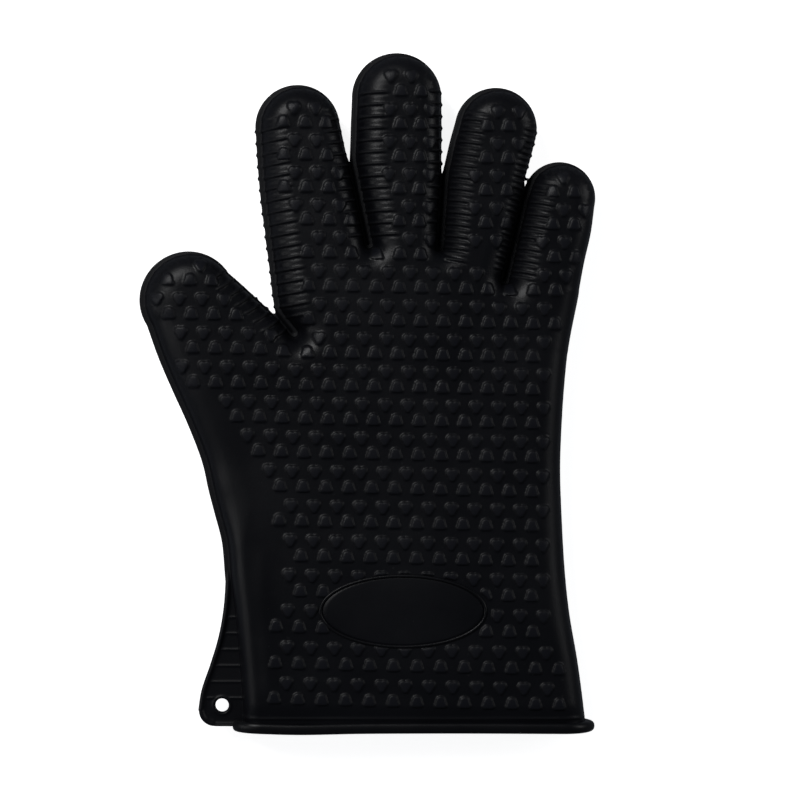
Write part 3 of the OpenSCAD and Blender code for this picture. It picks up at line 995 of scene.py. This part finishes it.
def outward_mesh(name, points, faces):
    """A mesh whose faces all point outwards."""
    mesh = bpy.data.meshes.new(name)
    mesh.from_pydata(points, [], faces)
    bm = bmesh.new()
    bm.from_mesh(mesh)
    bmesh.ops.recalc_face_normals(bm, faces=bm.faces)
    bm.to_mesh(mesh)
    bm.free()
    return mesh


def swept_ring(name, centres, outward, up, profile):
    """A closed tube: profile points, as (out, along) pairs, carried round a closed path."""
    count, sides = len(centres), len(profile)
    verts = [
        centres[i] + outward[i] * o + up[i] * a for i in range(count) for o, a in profile
    ]
    faces = [
        (
            i * sides + j,
            i * sides + (j + 1) % sides,
            (i + 1) % count * sides + (j + 1) % sides,
            (i + 1) % count * sides + j,
        )
        for i in range(count)
        for j in range(sides)
    ]
    return outward_mesh(name, [tuple(v) for v in verts], faces)


def rounded_profile(half_out, half_along, power, count=20):
    """The section of a tube, between an ellipse and a box, as (out, along) pairs."""
    angles = np.arange(count) / count * 2 * math.pi
    c, s = np.cos(angles), np.sin(angles)
    return [
        (
            half_out * math.copysign(abs(a) ** (2 / power), a),
            half_along * math.copysign(abs(b) ** (2 / power), b),
        )
        for a, b in zip(c, s)
    ]


def hem_bead():
    """The thick bead round the mouth of the cuff, slightly wavy as silicone is."""
    low, high = bead_low, bead_high
    radius = (high[2] - low[2]) / 2 - BEAD_OUT
    left, right = low[0] + BEAD_OUT + radius, high[0] - BEAD_OUT - radius
    middle = (low[2] + high[2]) / 2
    path = []
    for start, end, facing in ((left, right, 1.0), (right, left, -1.0)):
        for x in np.linspace(start, end, 90, endpoint=False):
            path.append((x, middle + radius * facing, 0.0, facing, 1.0))
        for a in np.linspace(90 * facing, 90 * facing - 180, 40, endpoint=False):
            c, s = math.cos(math.radians(a)), math.sin(math.radians(a))
            path.append((end + radius * c, middle + radius * s, c, s, 1 + BEAD_SWELL * max(c, 0)))
    along = (low[1] + high[1]) / 2 + HEM_RISE
    centres, outward, up = [], [], []
    for x, z, nx, nz, swell in path:
        left_wave = 0.4 * math.sin(x / 13.0) * math.exp(-(((x + 36) / 26) ** 2))
        wave = left_wave + 0.12 * math.sin(x / 21.0)
        slim = 0.25 * math.sin(x / 9.0 + 1) * math.exp(-(((x + 30) / 22) ** 2))
        inwards = slim + BEAD_OUT * (swell - 1)
        centres.append(Vector((x - nx * inwards, along + wave, z - nz * inwards)))
        outward.append(Vector((nx, 0, nz)) * swell)
        up.append(Vector((0, 1, 0)))
    profile = rounded_profile(BEAD_OUT, (high[1] - low[1]) / 2, 2.6)
    return swept_ring("hem_bead", centres, outward, up, profile)


def badge_rim():
    """The thin raised line round the blank badge."""
    centres, outward, up = [], [], []
    half = BADGE_HALF[:2] - RIM_HALF
    for a in np.arange(240) / 240 * 2 * math.pi:
        place = BADGE_CENTRE[:2] + half * (math.cos(a), math.sin(a))
        normal = Vector((math.cos(a) / half[0], math.sin(a) / half[1], 0)).normalized()
        centres.append(Vector((place[0], place[1], badge_high[2] - RIM_TALL)))
        outward.append(normal)
        up.append(Vector((0, 0, 1)))
    profile = rounded_profile(RIM_HALF, RIM_TALL, 2.3, 16)
    return swept_ring("badge_rim", centres, outward, up, profile)


PANEL_CROWN = 0.3
PANEL_TUCK = 0.6  # how far its edge goes down into the skin


def badge_panel():
    """The smooth blank panel inside the badge's rim, very slightly crowned."""
    half = BADGE_HALF[:2] - RIM_HALF
    base = MID_Z + FRONT_HALF
    rings, around = 14, 160
    bm = bmesh.new()
    rows = []
    for k in range(1, rings + 1):
        share = k / rings
        z = base + PANEL_CROWN * (1 - share**4) - (PANEL_TUCK if k == rings else 0)
        share = 1.0 if k == rings else share * rings / (rings - 1) * 0.985
        rows.append([
            bm.verts.new((
                BADGE_CENTRE[0] + half[0] * share * math.cos(a),
                BADGE_CENTRE[1] + half[1] * share * math.sin(a), z,
            ))
            for a in np.arange(around) / around * 2 * math.pi
        ])
    top = bm.verts.new((BADGE_CENTRE[0], BADGE_CENTRE[1], base + PANEL_CROWN))
    bottom = bm.verts.new((BADGE_CENTRE[0], BADGE_CENTRE[1], base - 0.5))
    for i in range(around):
        n = (i + 1) % around
        bm.faces.new((top, rows[0][i], rows[0][n]))
        bm.faces.new((bottom, rows[-1][n], rows[-1][i]))
        for a, b in zip(rows, rows[1:]):
            bm.faces.new((a[i], b[i], b[n], a[n]))
    bmesh.ops.recalc_face_normals(bm, faces=bm.faces)
    mesh = bpy.data.meshes.new("badge_panel")
    bm.to_mesh(mesh)
    bm.free()
    return mesh


TAB_CELL = 0.36
# The tab's free edge, from the top down: y, x
TAB_EDGE = [(-58, -56.7), (-66, -56.3), (-74, -56.3), (-87, -57.3), (-97, -59.2), (-107, -62.2),
            (-118.5, -66.0), (-125, -67.0)]
TAB_TOP = -60.0
TAB_CORNER = 6.2
TAB_UNDER = 4.5  # how far the plate runs in under the cuff's skin
TAB_RIBS, TAB_RIB_TOP, TAB_RIB_PITCH = 6, -88.6, 6.4
TAB_RIB_HEIGHT, TAB_BEAD, TAB_COLLAR = 0.3, 0.9, 0.35


def tab_bounds():
    """Lowest and highest corner of the tab in CAD."""
    lows, highs = zip(box_mm("hang_tab"), box_mm("tab_rim"))
    return np.minimum(*lows), np.maximum(*highs)


def tab_hole():
    """Centre and radius of the hanging hole."""
    hole = next(m for m in frame["record"]["mounts"] if m["name"] == "hang_hole")
    return np.array(hole["pos_m"]) / MM, hole["dims"]["r_mm"]


def tab_shape(gx, gy, low):
    """How far inside the tab's outline, and how far from its free edge."""
    edge_y, edge_x = zip(*sorted(TAB_EDGE))
    corner = np.array([low[0] + TAB_CORNER, low[1] + TAB_CORNER])
    edge = gx - hermite(gy, edge_y, edge_x)
    round_corner = TAB_CORNER - np.hypot(gx - corner[0], gy - corner[1])
    in_corner = (gx < corner[0]) & (gy < corner[1])
    body = np.where(in_corner, round_corner, np.minimum(edge, gy - low[1]))
    right = hermite(gy, *zip(*PALM_LEFT)) + TAB_UNDER
    body = np.minimum(np.minimum(body, TAB_TOP - gy), right - gx)
    free = np.where(in_corner, round_corner, np.minimum(edge, gy - low[1] + 0.8))
    return body, free


def tab_half(gy, free, to_hole):
    """Half thickness of the tab, with its bead, the collar round the hole, and its ribs."""
    grown = ramp(-gy, 66, 82)
    bead = TAB_BEAD * grown * np.exp(-(((free - 1.15) / 0.95) ** 2))
    collar = TAB_COLLAR * np.exp(-(((to_hole - 0.7) / 0.6) ** 2))
    ribs = 0.0
    for k in range(TAB_RIBS):
        at = TAB_RIB_TOP - TAB_RIB_PITCH * k
        ribs = np.maximum(ribs, TAB_RIB_HEIGHT * np.exp(-(((gy - at) / 0.42) ** 2)))
    ribs = ribs * ramp(free, 2.2, 2.9) * ramp(to_hole, 1.2, 2.0)
    return 1.0 + 0.4 * grown + bead + collar + ribs


def tab_mesh():
    """The hanging tab: a plate with a bead along its free edge, fine ribs and a round hole."""
    low, high = tab_bounds()
    hole, hole_r = tab_hole()
    origin = np.array([low[0] - 2, low[1] - 2, MID_Z - 4.5])
    along_x = np.arange(origin[0], high[0] + 3, TAB_CELL)
    along_y = np.arange(origin[1], TAB_TOP + 3, TAB_CELL)
    gx, gy = np.meshgrid(along_x, along_y, indexing="ij")
    body, free = tab_shape(gx, gy, low)
    to_hole = np.hypot(gx - hole[0], gy - hole[1]) - hole_r
    half = tab_half(gy, free, to_hole)
    levels = np.arange(origin[2], MID_Z + 4.6, TAB_CELL)
    flat = np.minimum(body, to_hole)
    volume = np.stack([smooth_max(abs(z - MID_Z) - half, -flat, 0.8) for z in levels], axis=2)
    points, quads = mesh_field(volume, origin, TAB_CELL)
    return outward_mesh("hang_tab", points, quads)


# ---- Putting the glove together ----

SKIN_NODES = {
    "palm_skin": [
        "palm_front", "palm_back", "knuckle_front", "knuckle_back", "knuckle_crease", "palm_grips",
        "knuckle_grips",
    ],
    "cuff_skin": ["cuff_front", "cuff_back", "cuff_grips"],
}


def bend_piece(piece, label):
    """Bakes a skin piece's transform, and puts the cuff's piece under the hand's body."""
    if label == 0:
        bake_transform(piece)
    elif label == 1:
        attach(piece, "hand")
    else:
        if label % 2 == 0:
            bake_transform(piece)
        else:
            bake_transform(piece)


def piece_facts(label):
    """A skin piece's name, the CAD nodes it stands for, and its cuts."""
    cuts = {s[0]: s for s in seams()}
    if label == 0:
        names = ["wrist"] + [d + "_root" for d in DIGITS]
        return "palm_skin", SKIN_NODES["palm_skin"], [cuts[n] for n in names]
    if label == 1:
        return "cuff_skin", SKIN_NODES["cuff_skin"], [cuts["wrist"], cuts["mouth"]]
    name = list(DIGITS)[(label - 2) // 2]
    if label % 2 == 0:
        nodes = [name + "_sleeve", name + "_middle_crease", name + "_sleeve_grips"]
        return name + "_sleeve_skin", nodes, [cuts[name + "_root"], cuts[name + "_mid"]]
    nodes = [name + "_tip", name + "_tip_crease", name + "_tip_grips"]
    return name + "_tip_skin", nodes, [cuts[name + "_mid"]]


# A small step runs round the cuff above the hem: its height, place and width
STEP_HEIGHT, STEP_UP, STEP_WIDTH = 0.3, 2.9, 0.5


def make_skins():
    whole = outline_whole(GX, GY)
    inside = true_distance(np.minimum(whole, -slit_gap(GX, GY)))
    ribs, grooves = rib_field()
    front_hearts = heart_field(inside, True)
    back_hearts = heart_field(inside, False)
    front, back = [
        np.maximum(hearts * GRIP_HEIGHT, ribs * RIB_HEIGHT) - grooves * GROOVE_DEPTH * (1 - hearts)
        for hearts in (front_hearts, back_hearts)
    ]
    step_line = STEP_HEIGHT * np.exp(-(((GY - MOUTH_Y - STEP_UP) / STEP_WIDTH) ** 2))
    front, back = front + step_line, back + step_line
    bm = cut_skin(outer_skin(inside, whole, front, back), inner_skin(inside))
    points, corners, starts = mesh_arrays(bm)
    counts = np.diff(np.append(starts, len(corners)))
    centres = np.add.reduceat(points[corners], starts, axis=0) / counts[:, None]
    label = label_of(*centres.T)
    material = silicone("BlackSilicone", SKIN_BLACK, 0.36, with_relief=True)
    for value in range(2 + 2 * len(DIGITS)):
        chosen = np.nonzero(label == value)[0]
        name, nodes, cuts = piece_facts(value)
        mesh = piece_mesh(name, points, corners, starts, chosen)
        open_edges = close_piece(mesh, cuts)
        store_relief(mesh, front, back)
        print("piece", name, len(mesh.polygons), "faces, open edges", open_edges)
        piece = add_piece(name, mesh, material)
        bend_piece(piece, value)
        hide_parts(*nodes)


def make_trim():
    bead = silicone("BeadSilicone", BEAD_BLACK, 0.36)
    smooth = silicone("SmoothSilicone", SKIN_BLACK, 0.38, grain=0.6)
    for name, mesh, material, slot, nodes in (
        ("hem_bead_ring", hem_bead(), bead, "bead_silicone", ["hem_bead"]),
        ("hang_tab_plate", tab_mesh(), smooth, "tab_silicone", ["hang_tab", "tab_rim", "tab_ribs"]),
        ("badge_rim_line", badge_rim(), bead, "badge_silicone", ["badge_rim"]),
        ("badge_panel_blank", badge_panel(), smooth, "badge_silicone", ["badge_plate"]),
    ):
        piece = add_piece(name, mesh, material)
        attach(piece, "hand")
        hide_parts(*nodes)


make_camera()
make_lights()
make_floor()
make_skins()
make_trim()
